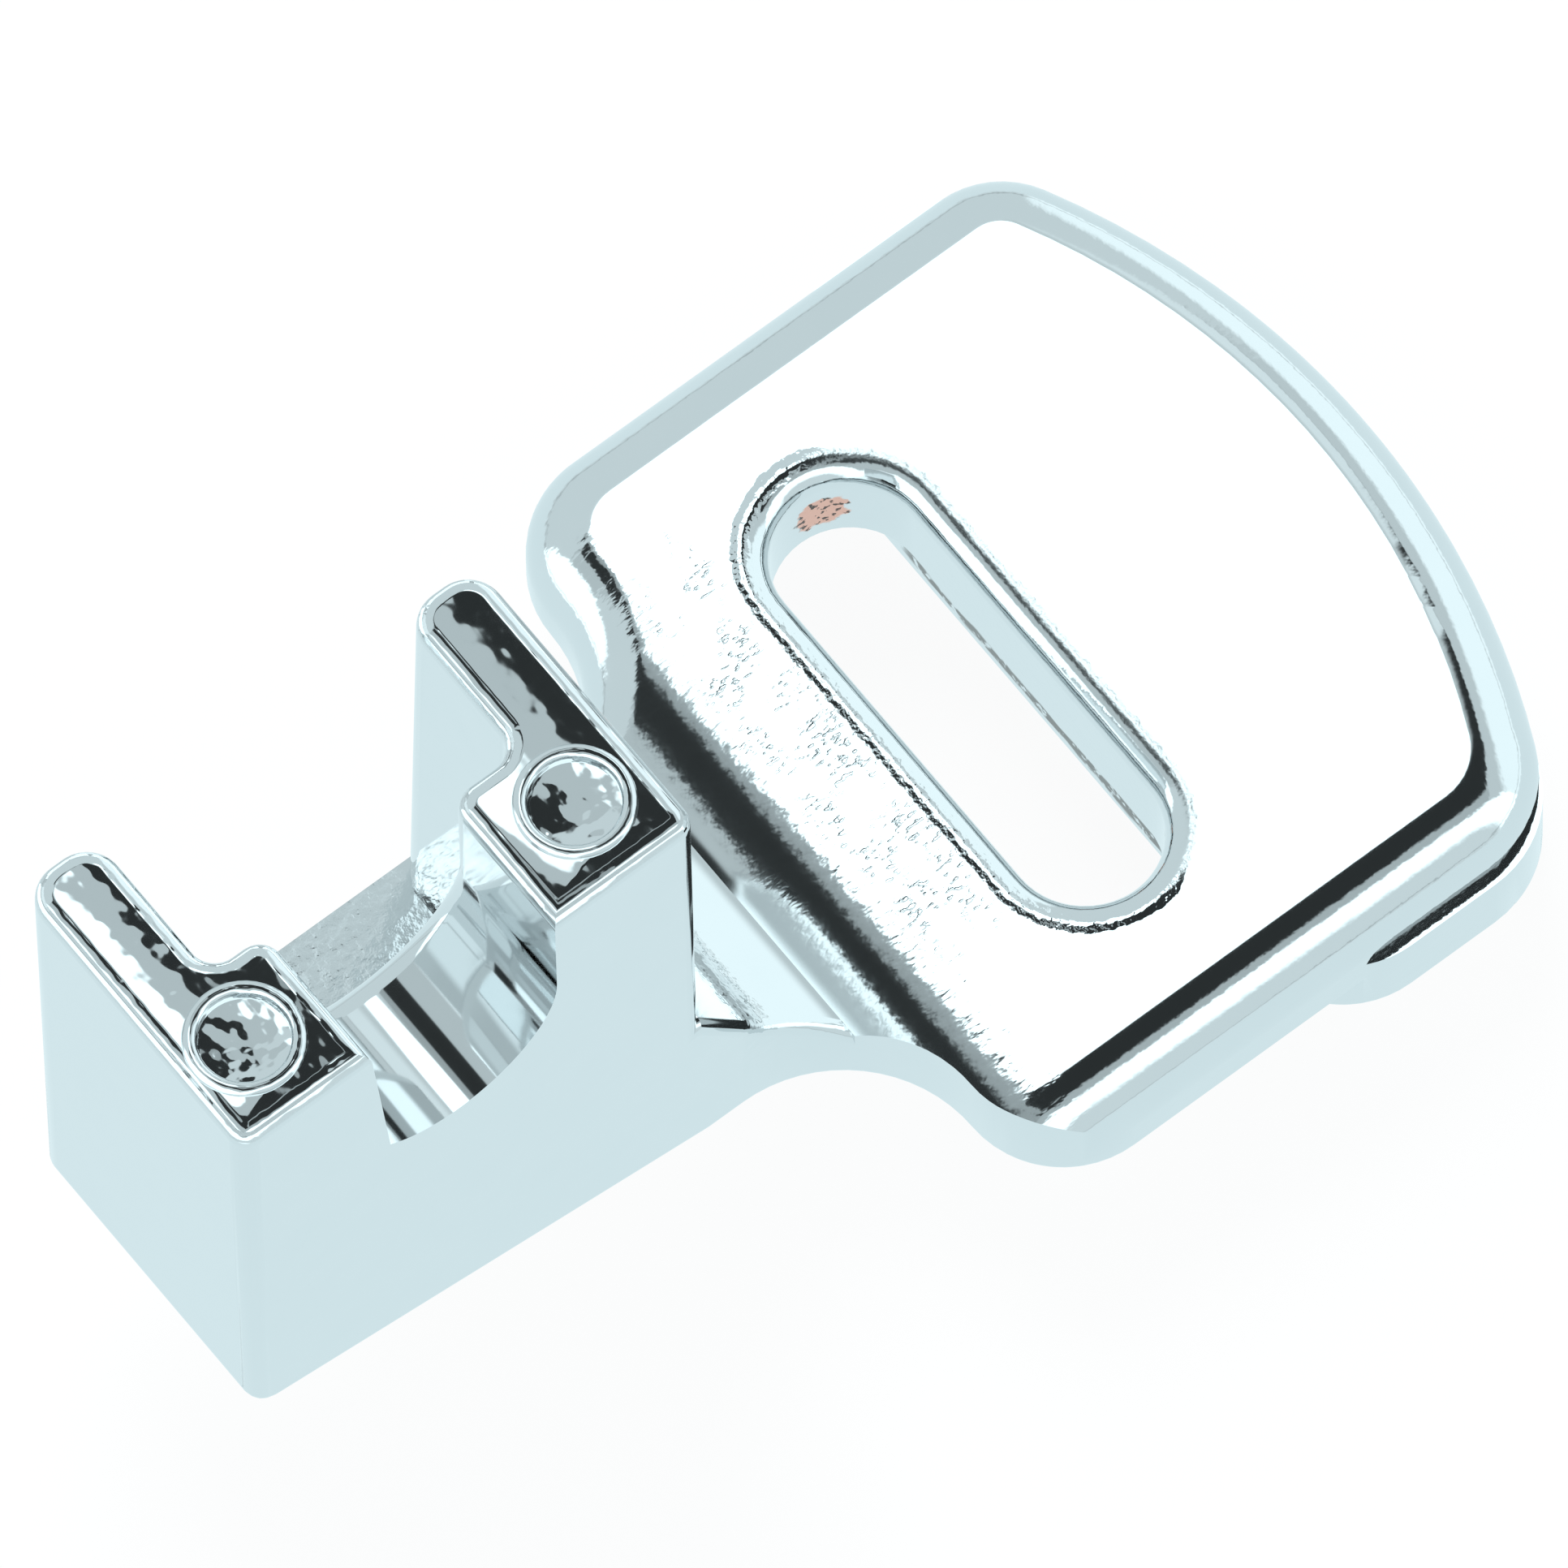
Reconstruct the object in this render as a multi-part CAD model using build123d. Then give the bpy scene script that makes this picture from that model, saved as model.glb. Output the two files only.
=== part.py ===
"""Presser foot holder: a one-piece chrome-plated zinc die casting.

X runs from the forked block to the far end of the screw plate, Y across the width,
Z up through the plate. The origin is the slot centre, level with the back of the pad.
"""
import math
import os

from build123d import *

# Screw slot
screw_dia = 3.0
screw_clearance = 0.6
slot_travel = 8.6
slot_rim_r = 0.65

# Screw plate
plate_width = 20.6
plate_t = 2.8
plate_near = 5.9
plate_far = 11.45
far_arc_r = 20.0
near_corner_r = 2.6
far_front_r = 3.0
far_rear_r = 2.4
face_edge_r = 1.6
back_edge_r = 0.35

# Raised pad on the back of the plate
pad_t = 1.3
pad_setback = 0.1
pad_out = 0.25
pad_near_corner_r = 2.5
pad_far_corner_r = 2.8
pad_edge_r = 0.25

# Neck between plate and block
slot_to_block = 10.55
neck_rise = 3.1
valley_out = 3.45
valley_depth = 0.6
roll_run = 2.55
ramp_out = 1.51
ramp_rise = 1.4
ramp_r = 3.0
flare_r = 3.65
neck_edge_r = 0.3

# Forked block
block_len = 12.8
block_width = 8.1
leg_rise = 14.45
toe_lift = 2.5
toe_edge_r = 0.8
block_corner_r = 0.5
leg_edge_r = 0.45

# Pocket between the two thin leg strips
strip_t = 2.1
strip_end_r = 0.9
pocket_corner_r = 0.6
wall_draft = 2.0
web_t = 3.9
pocket_floor_t = 1.35

# Bar channel through the web
channel_shift = -0.225
channel_width = 5.15
channel_r = 2.85
channel_depth = 6.2
channel_draft = 4.0
boss_corner_r = 0.6

# Ejector-pin marks on the leg tops
mark_r = 1.05
mark_depth = 0.18
mark_ring = 0.35
mark_from_toe = 1.65
mark_from_neck = 1.9
mark_from_web = 2.05

# Derived levels and positions
slot_width = screw_dia + screw_clearance
z_back = pad_t
z_face = z_back + plate_t
z_top = z_face + leg_rise
z_neck = z_face + neck_rise
z_valley = z_face - valley_depth
z_pocket = z_back + toe_lift + pocket_floor_t
x_block = -slot_to_block
x_toe = x_block - block_len
x_valley = x_block + valley_out
x_flat = x_valley + roll_run
boss_len = (block_len - channel_width) / 2 + channel_shift
half_block = block_width / 2
half_plate = plate_width / 2
y_web = web_t - half_block
y_corner = half_plate - near_corner_r
pocket_depth = z_top - z_pocket
overlap = 1.0


def across(face, y_from, y_to):
    """Side-view face drawn as (x, z), pulled across the width."""
    return extrude(Plane.XZ.offset(-y_from) * face, amount=y_from - y_to)


def end_outline(x_near, half, near_r, front_r, rear_r):
    """Plan outline with straight sides, a bowed far end and rounded corners."""
    x_side = plate_far - far_arc_r + math.sqrt(far_arc_r**2 - half**2)
    low = (x_side, -half)
    high = (x_side, half)
    wire = [Line((x_near, -half), low), ThreePointArc(low, (plate_far, 0), high)]
    wire += [Polyline(high, (x_near, half), (x_near, -half))]
    face = make_face(wire)
    face = fillet([v for v in face.vertices() if v.X < x_near + 0.01], near_r)
    face = fillet(vertex_at(face, *low), front_r)
    return fillet(vertex_at(face, *high), rear_r)


def plate():
    """Plate with a flare at its near corners, rolled down to the valley, its face edge rounded."""
    outline = end_outline(-plate_near, half_plate, near_corner_r, far_front_r, far_rear_r)
    outline += neck_plan()
    straight = Pos(x_valley / 2, -half_plate / 2) * Rectangle(-x_valley, half_plate)
    body = Pos(0, 0, z_back) * extrude(outline + straight, amount=plate_t)
    body &= across(plate_side(), -half_plate, half_plate)
    body = fillet([e for e in body.edges() if on_face_edge(e)], face_edge_r)
    body &= extrude(outline, amount=z_top)
    back = body.edges().group_by(Axis.Z)[0]
    return fillet([e for e in back if (e @ 0.5).X > x_valley + 0.01], back_edge_r)


def plate_side():
    """Side view of the plate: flat face, then a roll down to the valley."""
    roll_r = (roll_run**2 + valley_depth**2) / (2 * valley_depth)
    turn = math.asin(roll_run / roll_r) / 2
    mid = (x_flat - roll_r * math.sin(turn), z_face - roll_r * (1 - math.cos(turn)))
    low = [(x_valley, z_valley), (x_valley, z_back), (plate_far, z_back)]
    wire = [Polyline(*low, (plate_far, z_face), (x_flat, z_face))]
    wire += [ThreePointArc((x_flat, z_face), mid, (x_valley, z_valley))]
    return make_face(wire)


def on_face_edge(edge):
    """True for the outer edges of the plate's face, flat or rolled."""
    mid = edge @ 0.5
    upright = abs((edge @ 0).Z - (edge @ 1).Z) > plate_t / 2
    seam = abs((edge @ 0).X - x_flat) < 0.001 and abs((edge @ 1).X - x_flat) < 0.001
    return mid.Z > z_valley - 0.01 and mid.X > x_valley + 0.01 and not upright and not seam


def pad():
    """Raised pad behind the far half of the plate, with tighter far corners."""
    near = slot_width / 2 + pad_setback
    half = half_plate + pad_out
    outline = end_outline(near, half, pad_near_corner_r, pad_far_corner_r, pad_far_corner_r)
    body = extrude(outline, amount=pad_t + overlap)
    return fillet(body.edges().group_by(Axis.Z)[0], pad_edge_r)


def slot_cut():
    """Through slot across the width, its rim rounded over onto the plate face."""
    throat = extrude(SlotCenterToCenter(slot_travel, slot_width, rotation=90), amount=z_face)
    rim = SlotCenterToCenter(slot_travel, slot_width + 2 * slot_rim_r, rotation=90)
    mouth = Pos(0, 0, z_face - slot_rim_r) * extrude(rim, amount=slot_rim_r)
    lip = mouth - throat
    inner = [e for e in lip.edges().group_by(Axis.Z)[-1] if inside_rim(e)]
    lip = fillet(inner, slot_rim_r - 0.02)
    return throat + (mouth - lip)


def inside_rim(edge):
    """True for the edges of the slot itself, not of the larger rim round it."""
    mid = edge @ 0.5
    reach = max(0.0, abs(mid.Y) - slot_travel / 2)
    return math.hypot(mid.X, reach) < (slot_width + slot_rim_r) / 2


def neck_side():
    """Side view of the neck: a ramp climbs from the valley to the block."""
    ramp = (x_block + ramp_out, z_valley + ramp_rise)
    x_root = x_block - overlap
    low = z_back + toe_lift * overlap / block_len
    under = [(x_root, z_neck), (x_root, low), (x_block, z_back), (x_valley, z_back)]
    top = [(x_valley, z_valley), ramp, (x_block, z_neck)]
    face = make_face(Polyline(*under, *top, close=True))
    return fillet(vertex_at(face, *ramp), ramp_r)


def vertex_at(face, x, z):
    """Corners of a flat face at one point."""
    return [v for v in face.vertices() if math.hypot(v.X - x, v.Y - z) < 0.001]


def neck_plan():
    """Plan of the neck: straight sides, then an outward arc to the plate's corners."""
    x_end = -plate_near
    reach = min(flare_r, y_corner - half_block)
    y_end = half_block + reach
    mid = (x_end - reach * (1 - math.sqrt(0.5)), y_end - reach * math.sqrt(0.5))
    x_root = x_block - overlap
    wire = [Line((x_root, half_block), (x_end - reach, half_block))]
    wire += [ThreePointArc((x_end - reach, half_block), mid, (x_end, y_end))]
    wire += [Polyline((x_end, y_end), (x_end, 0), (x_root, 0), (x_root, half_block))]
    half = make_face(wire)
    return half + mirror(half, Plane.XZ)


def neck():
    """Neck as wide as the block, flaring out to the valley where it meets the plate."""
    body = across(neck_side(), -half_plate, half_plate)
    body &= extrude(neck_plan(), amount=z_top)
    body = fillet([e for e in body.edges() if on_neck_edge(e)], neck_edge_r)
    return fillet([e for e in body.edges() if on_lower_side(e)], back_edge_r)


def on_neck_edge(edge):
    """True for the edges that run along the top of the neck's two sides."""
    mid = edge @ 0.5
    inside = x_block - overlap + 0.01 < mid.X < x_valley - 0.01
    return inside and mid.Z > z_valley - 0.01 and abs(mid.Y) > half_block - 0.01


def block_body():
    """Plain block with its sloping back, rounded toe and rounded upright corners."""
    points = [(x_toe, z_back + toe_lift), (x_block, z_back), (x_block, z_top), (x_toe, z_top)]
    side = make_face(Polyline(*points, close=True))
    side = fillet(vertex_at(side, *points[0]), toe_edge_r)
    plan = Pos(x_block - block_len / 2, 0) * Rectangle(block_len, block_width)
    plan = fillet(plan.vertices().group_by(Axis.Y)[0], block_corner_r)
    plan = fillet([v for v in plan.vertices() if v.Y > half_block - 0.01], strip_end_r)
    body = across(side, -half_block, half_block) & extrude(plan, amount=z_top)
    return fillet([e for e in body.edges() if on_lower_side(e)], back_edge_r)


def on_lower_side(edge):
    """True for the two long lower edges of the block or neck."""
    mid = edge @ 0.5
    level = abs((edge @ 0).Z - (edge @ 1).Z) < toe_lift + 0.01
    side = abs(mid.Y) > half_block - 0.01 and x_toe + 1 < mid.X < x_valley - 0.01
    return level and side and mid.Z < z_valley - 0.1


def pocket_cut():
    """Deep pocket behind the web, its side walls drafted to leave thicker leg roots."""
    lean = pocket_depth * math.tan(math.radians(wall_draft))
    left = x_toe + strip_t
    right = x_block - strip_t
    points = [(left, z_top), (left + lean, z_pocket), (right - lean, z_pocket), (right, z_top)]
    return across(make_face(Polyline(*points, close=True)), y_web, half_block + 1)


def channel_cut():
    """Bar channel through the web: drafted straight wall, round bottom, upright wall."""
    left = x_toe + boss_len
    right = left + channel_width
    x_mid = right - channel_r
    z_mid = z_top - channel_depth + channel_r
    foot = left + channel_depth * math.tan(math.radians(channel_draft))
    z_foot = z_mid - math.sqrt(channel_r**2 - (x_mid - foot) ** 2)
    low = (x_mid + channel_r * 0.5, z_mid - channel_r * math.sqrt(0.75))
    wire = [Line((left, z_top), (foot, z_foot)), ThreePointArc((foot, z_foot), low, (right, z_mid))]
    wire += [Line((right, z_mid), (right, z_top)), Line((right, z_top), (left, z_top))]
    return across(make_face(wire), -half_block - 1, y_web + 1)


def marks():
    """Centres of the two ejector-pin marks."""
    y_mark = mark_from_web - half_block
    return [(x_toe + mark_from_toe, y_mark), (x_block - mark_from_neck, y_mark)]


def block():
    """Forked block: pocket, channel, rounded leg tops and ejector-pin marks."""
    body = block_body() - pocket_cut() - channel_cut()
    ends = [e for e in body.edges() if on_strip_end(e)]
    body = fillet(ends, strip_end_r)
    inner = [e for e in body.edges() if on_pocket_corner(e)]
    body = fillet(inner, pocket_corner_r)
    rear = [e for e in body.edges() if on_web_rear(e)]
    body = fillet(rear, boss_corner_r)
    tops = body.faces().filter_by_position(Axis.Z, z_top - 0.01, z_top + 0.01)
    body = fillet(tops.edges(), leg_edge_r)
    for x, y in marks():
        spot = Pos(x, y, z_top)
        body += spot * Torus(mark_r + mark_ring / 2, mark_ring / 2)
        body -= spot * Cylinder(mark_r, 2 * mark_depth)
    return body


def on_web_rear(edge):
    """True for the channel's own edges on the rear face of the web."""
    mid = edge @ 0.5
    left = x_toe + boss_len - 0.01
    right = x_toe + boss_len + channel_width + 0.01
    flat = abs((edge @ 0).Y - y_web) < 0.001 and abs((edge @ 1).Y - y_web) < 0.001
    return flat and left < mid.X < right and z_top - channel_depth - 0.1 < mid.Z < z_top - 0.01


def on_pocket_corner(edge):
    """True for the upright corners where the strips meet the web."""
    flat = abs((edge @ 0).Y - y_web) < 0.001 and abs((edge @ 1).Y - y_web) < 0.001
    return flat and abs((edge @ 0).Z - (edge @ 1).Z) > pocket_depth - 0.1


def on_strip_end(edge):
    """True for the inner upright edges at the open end of the pocket."""
    mid = edge @ 0.5
    wide = abs(mid.X - (x_toe + x_block) / 2) < block_len / 2 - strip_t + 0.01
    upright = abs((edge @ 0).Z - (edge @ 1).Z) > pocket_depth - 0.1
    return wide and upright and mid.Y > half_block - 0.01


def holder():
    """The whole casting as one solid."""
    body = plate() + pad() + neck() + block()
    return body - slot_cut()


os.makedirs("parts", exist_ok=True)
export_step(holder(), "parts/holder.step")
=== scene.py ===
import bmesh
import bpy
import math
from mathutils import Matrix, Vector


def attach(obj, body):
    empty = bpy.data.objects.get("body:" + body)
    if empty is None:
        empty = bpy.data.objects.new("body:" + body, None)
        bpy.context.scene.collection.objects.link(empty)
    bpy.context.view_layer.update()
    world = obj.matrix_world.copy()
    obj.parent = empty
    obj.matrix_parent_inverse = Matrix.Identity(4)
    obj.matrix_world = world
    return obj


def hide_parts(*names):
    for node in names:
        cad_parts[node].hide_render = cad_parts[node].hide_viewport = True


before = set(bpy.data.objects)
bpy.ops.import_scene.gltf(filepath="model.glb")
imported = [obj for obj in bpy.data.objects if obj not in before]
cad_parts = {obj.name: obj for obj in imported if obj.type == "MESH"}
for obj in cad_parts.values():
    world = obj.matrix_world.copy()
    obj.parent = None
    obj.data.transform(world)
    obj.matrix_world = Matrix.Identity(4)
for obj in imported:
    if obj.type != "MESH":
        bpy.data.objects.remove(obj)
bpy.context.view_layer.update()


# The casting: zinc shot into a two-part die, so plate, neck and forked block are one piece. The
# skin is as cast on the leg tops, the neck and the pocket floor and smooth elsewhere, and all of
# it is nickel and chrome plated over a thin coat of copper. Its places are in mm.
MM_PER_M = 1000.0
LEG_TOP_Z = 18.55
LEG_FRONT_Y = -3.3
MARK_FLOOR_Z = 18.37
MARK_Y = -2.0
TOE_MARK_X = -21.7
NECK_MARK_X = -12.45
MARKS_MID_X = (TOE_MARK_X + NECK_MARK_X) / 2
MARKS_HALF_GAP = (NECK_MARK_X - TOE_MARK_X) / 2
POCKET_FLOOR_Z = 5.15
VALLEY_X = -7.1
SLOT_HALF_TRAVEL = 4.3
WELD_GAP = 1.5e-6
SLIVER = 1e-6
cast = bmesh.new()
cast.from_mesh(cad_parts["holder"].data)
bmesh.ops.remove_doubles(cast, verts=cast.verts, dist=WELD_GAP)
bmesh.ops.dissolve_degenerate(cast, edges=cast.edges, dist=SLIVER)
bmesh.ops.triangulate(cast, faces=cast.faces)
cast.normal_update()


def climbing(run, rise):
    """Upward direction of a face that climbs to the toe by rise over run."""
    return Vector((rise, 0, run)).normalized()


def drafted(degrees):
    """Direction of a wall across the part, turned up from the way to the plate's far end."""
    angle = math.radians(degrees)
    return Vector((math.cos(angle), 0, math.sin(angle)))


# The faces that the die made flat: square ones, the sloping back, drafted walls and the ramp.
WALL_DRAFT = 2.0
CHANNEL_DRAFT = 4.0
FLAT_WITHIN = math.cos(math.radians(0.25))
back = climbing(12.8, 2.5)
ramp = climbing(1.94, 1.4)
ramp_top = climbing(1.51, 2.3)
flats = [Vector((1, 0, 0)), Vector((0, 1, 0)), Vector((0, 0, 1)), back]
flats += [-flat for flat in flats]
flats += [drafted(WALL_DRAFT), drafted(180 - WALL_DRAFT), drafted(CHANNEL_DRAFT), ramp, ramp_top]
level = {f for f in cast.faces if max(f.normal.dot(flat) for flat in flats) > FLAT_WITHIN}

MARK_LEAN = 0.36
NEAR = 0.05


def share(length, whole):
    return min(1.0, max(0.0, length / whole))


def facing(face, at):
    """Direction to shade a flat face in, at a point in mm. Some lean, to give the reflections of
    the real ones: leg tops and marks to the toe, the pocket floor to the plate, and the ramp
    upwards next to the valley. The mesh itself stays flat."""
    upward = face.normal.z > 0.99
    ahead = 0.0
    if upward and at.z > LEG_TOP_Z - NEAR:
        if at.y < LEG_FRONT_Y:
            lean = 0.20
            ahead = -0.12
        elif at.x < MARKS_MID_X:
            lean = max(0.20, min(0.70, 0.24 + 0.38 * (TOE_MARK_X - at.x)))
        else:
            lean = min(0.62, 0.19 + 0.19 * (-11.0 - at.x))
    elif upward and at.z > MARK_FLOOR_Z - NEAR:
        lean = MARK_LEAN
    elif upward and abs(at.z - POCKET_FLOOR_Z) < NEAR:
        lean = -0.14 - 0.15 * share(at.x + 19.5, 5.0)
    elif face.normal.dot(ramp) > 0.999:
        lean = -0.29 - 0.43 * share(VALLEY_X - at.x, 1.5)
    else:
        return face.normal.copy()
    return Vector((-lean, ahead, 1)).normalized()


CREASE = math.radians(32)


def joined(corner):
    """Faces round the corner's point that run on from its face with no crease."""
    group = {corner.face}
    edges = [e for e in corner.vert.link_edges if len(e.link_faces) == 2]
    grown = True
    while grown:
        grown = False
        for e in edges:
            first, second = e.link_faces
            if (first in group) != (second in group) and e.calc_face_angle() < CREASE:
                group |= {first, second}
                grown = True
    return group


ROLL_EASES_X = -5.8
ROLL_LOW_Z = 3.4


def corner_normal(corner):
    """A flat face keeps its own direction, and a rounded edge takes it over where they meet.
    The roll down from the plate is shaded flatter before it reaches the valley."""
    at = corner.vert.co * MM_PER_M
    if corner.face in level:
        return facing(corner.face, at)
    group = joined(corner)
    beside = [f for f in group if f in level]
    total = Vector()
    for f in beside or group:
        turn = next(c for c in f.loops if c.vert == corner.vert).calc_angle()
        total += (facing(f, at) if f in level else f.normal) * turn
    total.normalize()
    on_roll = VALLEY_X - 0.1 < at.x < ROLL_EASES_X and at.z > ROLL_LOW_Z and total.z > 0.85
    if on_roll and not beside:
        total.x += 0.155 * ((ROLL_EASES_X - at.x) / (ROLL_EASES_X - VALLEY_X)) ** 2
    return total.normalized()


lay = [corner_normal(c) for f in cast.faces for c in f.loops]
casting_mesh = bpy.data.meshes.new("casting")
cast.to_mesh(casting_mesh)
cast.free()
casting_mesh.shade_smooth()
casting_mesh.normals_split_custom_set(lay)
casting = bpy.data.objects.new("casting", casting_mesh)
bpy.context.scene.collection.objects.link(casting)


class Wire:
    """A socket of a node tree. Sums on it add Math nodes, and add() puts in any other node."""

    def __init__(self, tree, socket):
        self.tree = tree
        self.socket = socket

    def add(self, kind, settings, inputs, out=0):
        node = self.tree.nodes.new(kind)
        for name, value in settings.items():
            setattr(node, name, value)
        for name, value in inputs.items():
            if isinstance(value, Wire):
                self.tree.links.new(value.socket, node.inputs[name])
            else:
                node.inputs[name].default_value = value
        return Wire(self.tree, node.outputs[out])

    def sum(self, operation, first, second=0.0):
        return self.add("ShaderNodeMath", {"operation": operation}, {0: first, 1: second})

    def __add__(self, other):
        return self.sum("ADD", self, other)

    def __radd__(self, other):
        return self.sum("ADD", other, self)

    def __sub__(self, other):
        return self.sum("SUBTRACT", self, other)

    def __rsub__(self, other):
        return self.sum("SUBTRACT", other, self)

    def __mul__(self, other):
        return self.sum("MULTIPLY", self, other)

    def __rmul__(self, other):
        return self.sum("MULTIPLY", other, self)

    def __neg__(self):
        return self.sum("SUBTRACT", 0.0, self)

    def __abs__(self):
        return self.sum("ABSOLUTE", self)

    def most(self, other):
        return self.sum("MAXIMUM", self, other)

    def over(self, low, high):
        """0 below low, 1 above high, eased between."""
        return self.add("ShaderNodeMapRange", {"interpolation_type": "SMOOTHSTEP"},
                        {"Value": self, "From Min": low, "From Max": high})

    def between(self, low, high, ease):
        return self.over(low - ease, low + ease) * (1 - self.over(high - ease, high + ease))

    def axis(self, name):
        return self.add("ShaderNodeSeparateXYZ", {}, {"Vector": self}, name)

    def stretched(self, by):
        return self.add("ShaderNodeVectorMath", {"operation": "MULTIPLY"}, {0: self, 1: by})

    def noise(self, scale, detail=2.0):
        return self.add("ShaderNodeTexNoise", {}, {"Vector": self, "Scale": scale, "Detail": detail})

    def ripple(self, scale, height, detail=2.0):
        """Noise up and down about zero."""
        return (self.noise(scale, detail) - 0.5) * height

    def blend(self, first, second):
        """Colour that goes from first to second as this value goes from 0 to 1."""
        return self.add("ShaderNodeMix", {"data_type": "RGBA"}, {0: self, 6: first, 7: second}, 2)


plating = bpy.data.materials.new("bright_plating")
plating.use_nodes = True
tree = plating.node_tree
shader = tree.nodes["Principled BSDF"]
spot = Wire(tree, tree.nodes.new("ShaderNodeTexCoord").outputs["Object"])
mm = spot.add("ShaderNodeVectorMath", {"operation": "SCALE"}, {0: spot, "Scale": MM_PER_M})
x = mm.axis("X")
y = mm.axis("Y")
z = mm.axis("Z")

# Where the skin differs, from the block to the plate's edges.
on_block = 1 - x.over(-10.9, -10.6)
leg_top = z.over(18.2, 18.45) * on_block
toe_leg = 1 - x.over(-17.0, -15.0)
mark_floor = z.between(18.3, 18.45, 0.03) * on_block
pocket_floor = (1 - z.over(5.25, 5.6)) * x.between(-20.9, -13.0, 0.1) * y.over(-0.2, 0.0)
ramp_bend = x.between(-9.5, -8.5, 0.2) * z.between(3.6, 6.2, 0.2)
rolled = x.between(-6.6, -4.2, 0.2) * z.over(3.2, 3.5)
flecked = x.between(-4.7, -2.7, 0.5) * z.over(3.8, 4.0) * (1 - abs(y - 1.0).over(4.5, 7.0))
past_ends = (abs(y) - SLOT_HALF_TRAVEL).most(0.0)
from_slot = mm.sum("SQRT", x * x + past_ends * past_ends)
near_side = 1 - x.over(-0.2, 1.4)
at_rim = z.over(3.2, 3.6)
rim = from_slot.between(2.2, 2.55, 0.12) * at_rim
rounded_edge = x.over(-4.5, -4.0) * (1 - z.over(4.06, 4.1))

# Relief in mm: orange peel and dished marks on the leg tops and a coarse pocket floor, drawn
# grain on the roll, flecks beside it, and a ragged lip on the near side of the slot.
drawn = mm.stretched((0.45, 1.0, 1.0))
off_x = abs(x - MARKS_MID_X) - MARKS_HALF_GAP
off_y = y - MARK_Y
ragged = from_slot + mm.ripple(4.5, 0.16)
wavy = mm.ripple(0.32, 0.006, 1.0)
peel = mm.ripple(1.9, 0.026 + toe_leg * 0.026, 0.8) * leg_top
dished = (off_x * off_x + off_y * off_y - 1.1) * 0.08 * mark_floor
pitted = mm.ripple(1.9, 0.035, 1.5) * mark_floor
cast_floor = mm.ripple(2.6, 0.034, 3.0) * pocket_floor
bend_skin = mm.ripple(3.5, 0.016) * ramp_bend
grain = drawn.ripple(5.0, 0.0045 + x.over(-5.5, -5.1) * 0.0065) * rolled
patches = mm.noise(0.9, 1.0).over(0.34, 0.60)
flecks = drawn.noise(8.5, 2.5).over(0.55, 0.68) * -0.005 * flecked * patches
lip = ragged.between(2.30, 2.59, 0.115) * at_rim * near_side * 0.032
speckle = mm.ripple(5.0, 0.012) * rim
wander = mm.ripple(3.6, 0.005) * rounded_edge
block_relief = peel + dished + pitted + cast_floor
plate_relief = bend_skin + grain + flecks + lip + speckle + wander
relief = wavy + block_relief + plate_relief
bump = mm.add("ShaderNodeBump", {}, {"Strength": 1.0, "Distance": 0.001, "Height": relief})
tree.links.new(bump.socket, shader.inputs["Normal"])

# Bare copper where the plating has pulled off one end wall of the slot.
BARE_SPOT = (0.5, 6.05, 2.45)
from_bare = mm.add("ShaderNodeVectorMath", {"operation": "DISTANCE"}, {0: mm, 1: BARE_SPOT}, "Value")
bare = 1 - (from_bare + mm.ripple(2.4, 0.9, 3.0)).over(0.62, 0.74)
specks = mm.noise(6.0).over(0.55, 0.61)
chrome = mm.noise(0.8).blend((0.755, 0.785, 0.795, 1), (0.775, 0.800, 0.808, 1))
copper = specks.blend((0.88, 0.50, 0.40, 1), (0.10, 0.07, 0.06, 1))
patched = bare.blend(chrome, copper)

# A broken dark line painted along the slot's far wall, low down.
along = mm.stretched((1.0, 0.25, 1.0))
dark_line_z = z + along.ripple(3.0, 0.5, 3.0)
slot_wall = (1 - from_slot.over(1.9, 2.0)) * x.over(0.4, 0.9)
dark_line = dark_line_z.between(0.45, 0.85, 0.07) * slot_wall * mm.noise(4.0).over(0.32, 0.46)
colour = dark_line.blend(patched, (0.13, 0.12, 0.11, 1))
tree.links.new(colour.socket, shader.inputs["Base Color"])
dulled = pocket_floor * 0.08 + rolled * 0.02 + bare * 0.3 + rim * (1 - near_side) * 0.14
gloss = 0.05 + mm.noise(1.5) * 0.03 + dulled
tree.links.new(gloss.socket, shader.inputs["Roughness"])
shader.inputs["Metallic"].default_value = 1.0

casting_mesh.materials.append(plating)
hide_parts("holder")
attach(casting, "root")


# The floor: a round white card that the pad's back lies on. It shows white to the camera and
# pale blue in the plating, and takes a faint shadow.
FLOOR_R = 0.06
FLOOR_MID = (-0.005, 0, -0.00004)
SHOWN_WHITE = 0.93
card = bmesh.new()
bmesh.ops.create_circle(card, cap_ends=True, segments=96, radius=FLOOR_R,
                        matrix=Matrix.Translation(FLOOR_MID))
card_mesh = bpy.data.meshes.new("floor")
card.to_mesh(card_mesh)
card.free()
floor = bpy.data.objects.new("floor", card_mesh)
bpy.context.scene.collection.objects.link(floor)
paper = bpy.data.materials.new("white_card")
paper.use_nodes = True
tree = paper.node_tree
tree.nodes.clear()
rays = tree.nodes.new("ShaderNodeLightPath")
straight = Wire(tree, rays.outputs["Is Camera Ray"])
mirrored = Wire(tree, rays.outputs["Is Glossy Ray"])
through = Wire(tree, rays.outputs["Is Transmission Ray"])
lit = straight.add("ShaderNodeBsdfDiffuse", {}, {"Color": (0.85, 0.85, 0.85, 1)})
shown = straight.blend((0.775, 0.928, 0.967, 1), (1, 1, 1, 1))
white = straight.add("ShaderNodeEmission", {}, {"Color": shown, "Strength": 1.0})
seen = straight * SHOWN_WHITE + mirrored + through
sheet = straight.add("ShaderNodeMixShader", {}, {0: seen, 1: lit, 2: white})
end = tree.nodes.new("ShaderNodeOutputMaterial")
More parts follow.
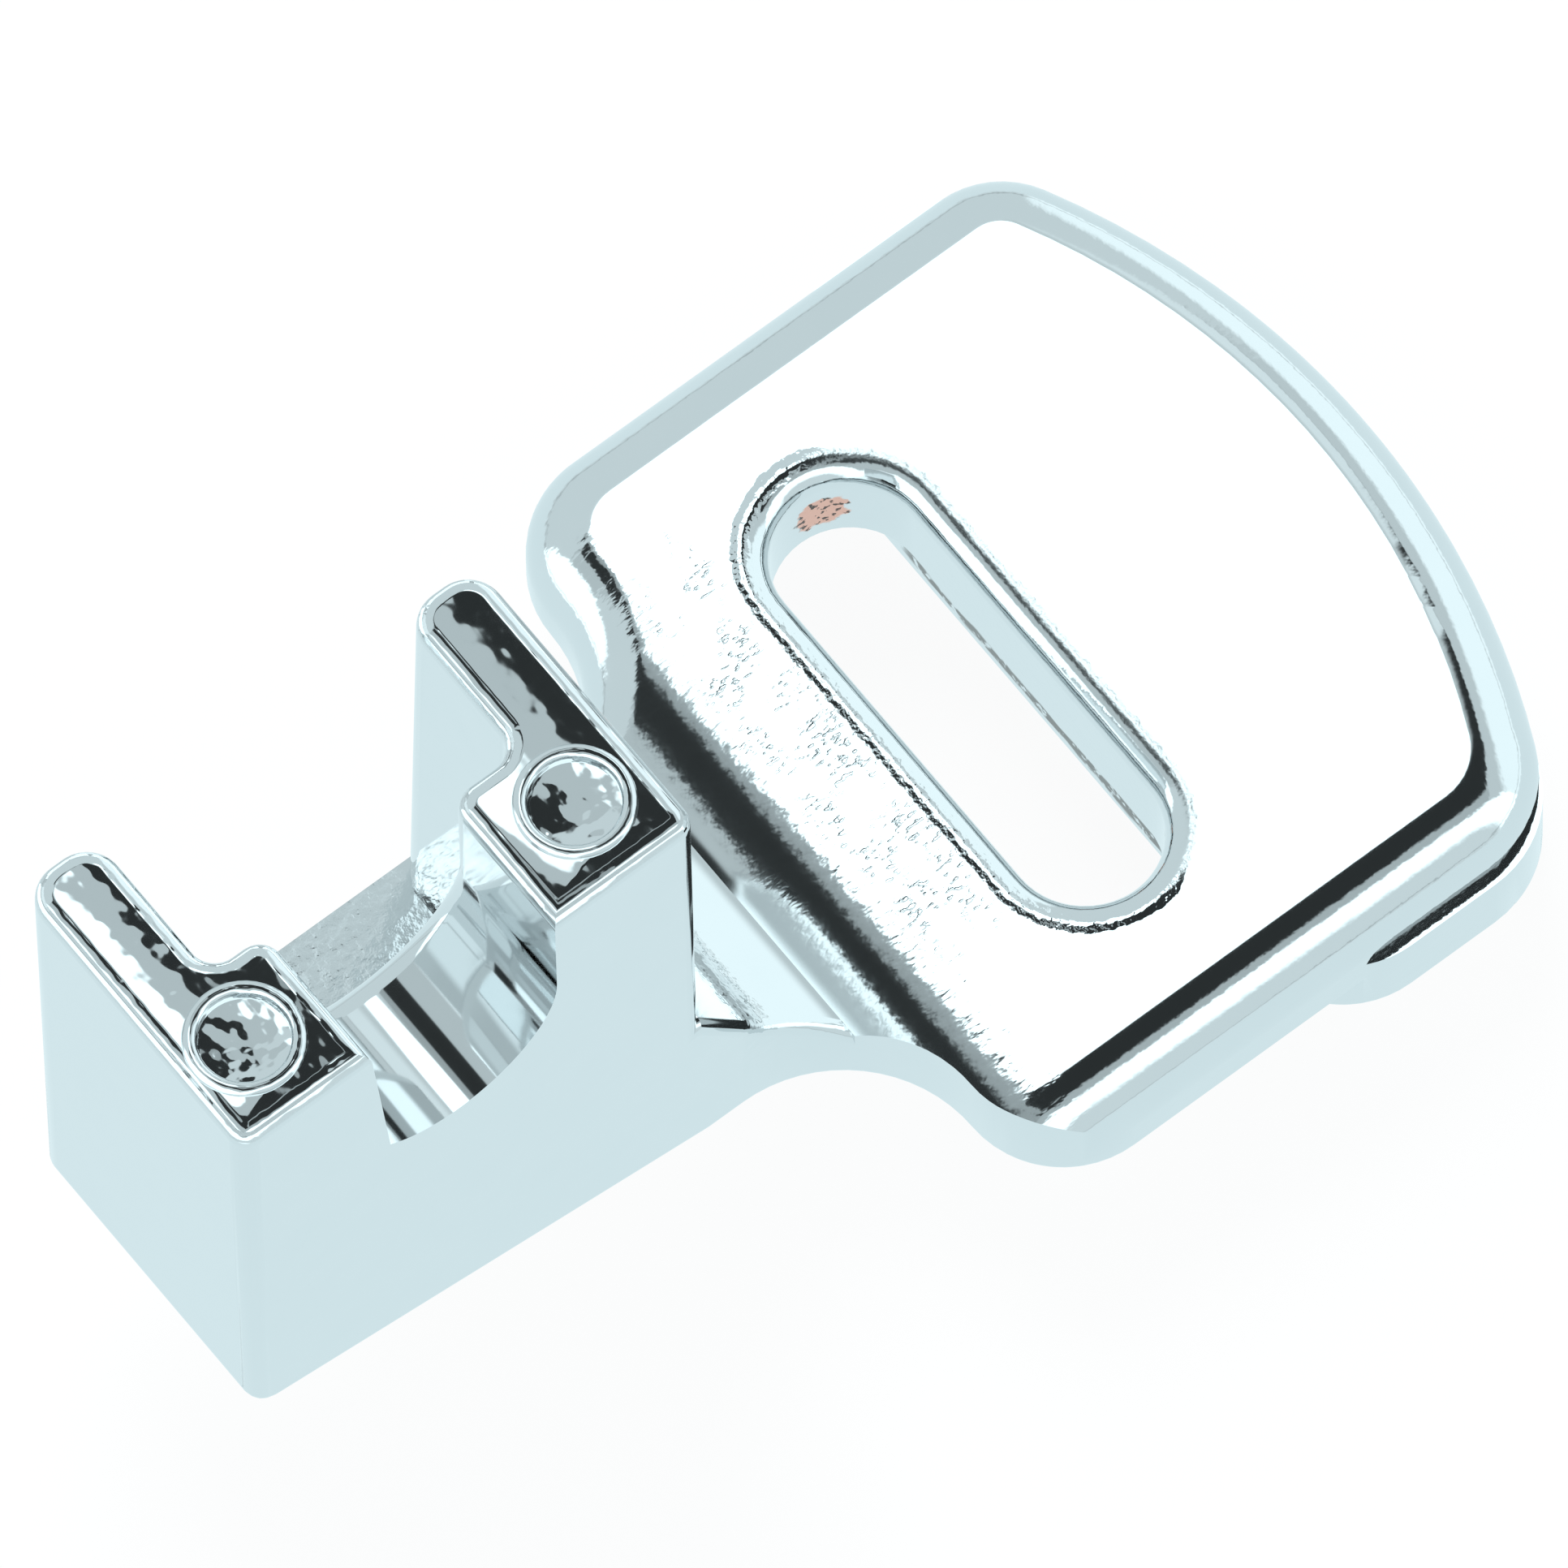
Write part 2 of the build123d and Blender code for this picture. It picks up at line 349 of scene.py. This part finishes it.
tree.links.new(sheet.socket, end.inputs["Surface"])
card_mesh.materials.append(paper)


# The room: a round softbox high behind the part, a dark ceiling round it and pale walls, placed
# so that the plating shows the right reflections. The camera sees plain white. Of a direction,
# u points to the plate's far end, v to the rear and h up.
SOFTBOX_U = 0.165
SOFTBOX_V = 0.31
SOFTBOX_GLOW = 2.0
CEILING_GLOW = 0.035
world = bpy.data.worlds.new("studio")
bpy.context.scene.world = world
world.use_nodes = True
tree = world.node_tree
tree.nodes.clear()
way = Wire(tree, tree.nodes.new("ShaderNodeTexCoord").outputs["Generated"])
u = way.axis("X")
v = way.axis("Y")
h = way.axis("Z")
du = (u - SOFTBOX_U) * 6.7
dv = (v - SOFTBOX_V) * 8.7
softbox = 1 - (du * du + dv * dv).over(0.85, 1.15)
behind = (v + u.over(-0.04, 0.02) * 0.08).over(0.44, 0.48) * 0.78
smear = u.between(-0.075, 0.03, 0.008) * 0.42
skirt_glow = 0.68 + u.over(0.32, 0.42) * 0.26
skirt = u.between(0.26, 0.57, 0.02) * v.between(0.27, 0.42, 0.03) * skirt_glow
far_side = u.over(0.55, 0.58) * 0.70 + u.over(0.72, 0.80) * 0.50
toe_side = (-u).over(0.315, 0.335) * 0.62 + (-u).over(0.60, 0.66) * 1.0
front_glow = (-v).over(0.33, 0.40) * 0.52 + (-v).over(0.53, 0.58) * 1.1
front_side = front_glow - (-v).over(0.80, 0.88) * 0.80
walls = behind.most(far_side).most(skirt).most(smear).most(toe_side).most(front_side)
room = (walls + CEILING_GLOW) * (1 - softbox) + softbox * SOFTBOX_GLOW
skyline = 1 - h.between(-0.012, 0.012, 0.012) * 0.4
straight = Wire(tree, tree.nodes.new("ShaderNodeLightPath").outputs["Is Camera Ray"])
strength = straight + (1 - straight) * (room * skyline)
tone = straight.blend((0.82, 0.965, 1.0, 1), (1, 1, 1, 1))
glow = way.add("ShaderNodeBackground", {}, {"Color": tone, "Strength": strength})
end = tree.nodes.new("ShaderNodeOutputWorld")
tree.links.new(glow.socket, end.inputs["Surface"])

# The softbox's own light, which gives the floor its shadow.
LAMP_WAY = Vector((0.28, 0.75, 0.6)).normalized()
LAMP_AWAY = 0.4
lamp = bpy.data.lights.new("softbox", "AREA")
lamp.shape = "DISK"
lamp.size = 0.25
lamp.energy = 1.6
box = bpy.data.objects.new("softbox", lamp)
bpy.context.scene.collection.objects.link(box)
box.location = LAMP_WAY * LAMP_AWAY
box.rotation_euler = LAMP_WAY.to_track_quat("Z", "Y").to_euler()
box.visible_glossy = False
box.visible_camera = False


# The camera: far off with a long lens, looking down on the part at the photograph's angle.
PHOTO_WIDE = 1932
PIXELS_PER_MM = 55
AIM = Vector((-0.00518, 0.0, 0.00590))
TURN = math.radians(-36.6)
TILT = math.radians(66.0)
ROLL = math.radians(-1.5)
wide = PHOTO_WIDE / PIXELS_PER_MM / MM_PER_M
right = Vector((math.cos(TURN), math.sin(TURN), 0))
up = Vector((-math.sin(TURN) * math.sin(TILT), math.cos(TURN) * math.sin(TILT), math.cos(TILT)))
across = math.cos(ROLL) * right + math.sin(ROLL) * up
rise = math.cos(ROLL) * up - math.sin(ROLL) * right
toward = across.cross(rise)
lens = bpy.data.cameras.new("camera")
lens.lens = 1200
lens.sensor_width = 36
camera = bpy.data.objects.new("camera", lens)
bpy.context.scene.collection.objects.link(camera)
place = AIM + toward * (wide * lens.lens / lens.sensor_width)
stand = Matrix((across, rise, toward)).transposed().to_4x4()
camera.matrix_world = Matrix.Translation(place) @ stand
bpy.context.scene.camera = camera
bpy.context.scene.view_settings.view_transform = "Standard"
